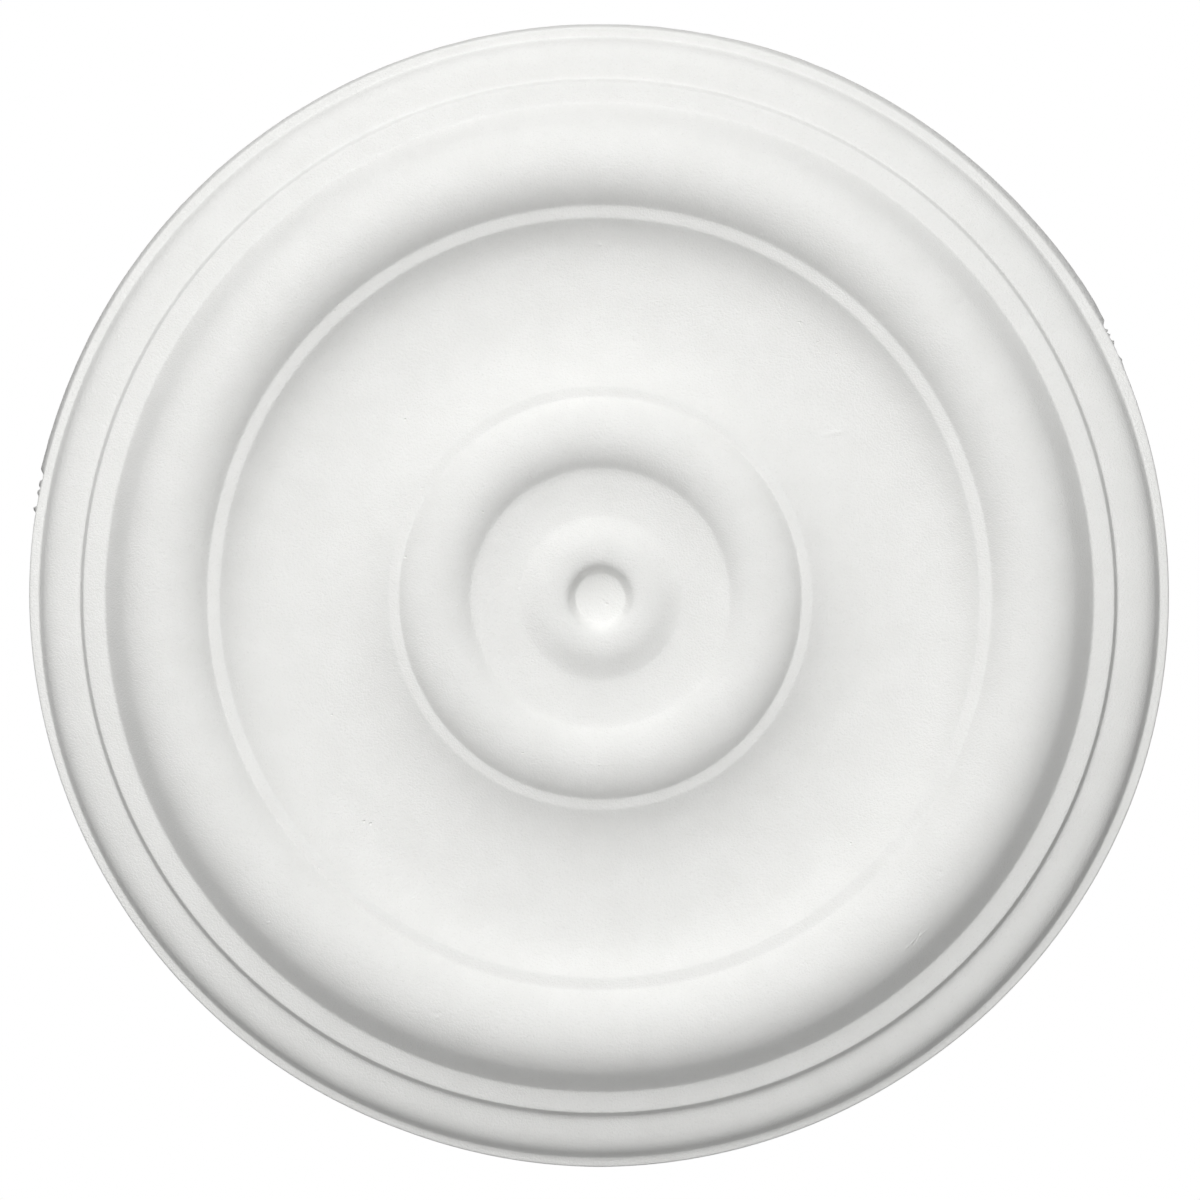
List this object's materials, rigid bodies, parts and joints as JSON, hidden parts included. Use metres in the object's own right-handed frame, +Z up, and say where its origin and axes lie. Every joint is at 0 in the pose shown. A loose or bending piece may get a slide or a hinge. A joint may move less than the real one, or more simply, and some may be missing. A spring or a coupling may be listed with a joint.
{
  "type": "ceiling rose",
  "caption": "Plain round plaster ceiling rose: a dimpled boss, a small roll, a wide dish between fillets, a great roll and a beaded rim, with a flat back.",
  "frame": {"origin": "centre of the flat back, on the plane of the ceiling", "axes": "+Z up into the ceiling, along the axis of the rose, and the mouldings face down, towards -Z; X and Y lie in the plane of the ceiling and are alike"},
  "size_m": [0.46, 0.46, 0.043],
  "materials": {
    "cast_plaster": "white casting plaster, matt, fine grained, unpainted"
  },
  "bodies": {
    "root": {"ceiling_rose": "cast_plaster"}
  },
  "joints": []
}
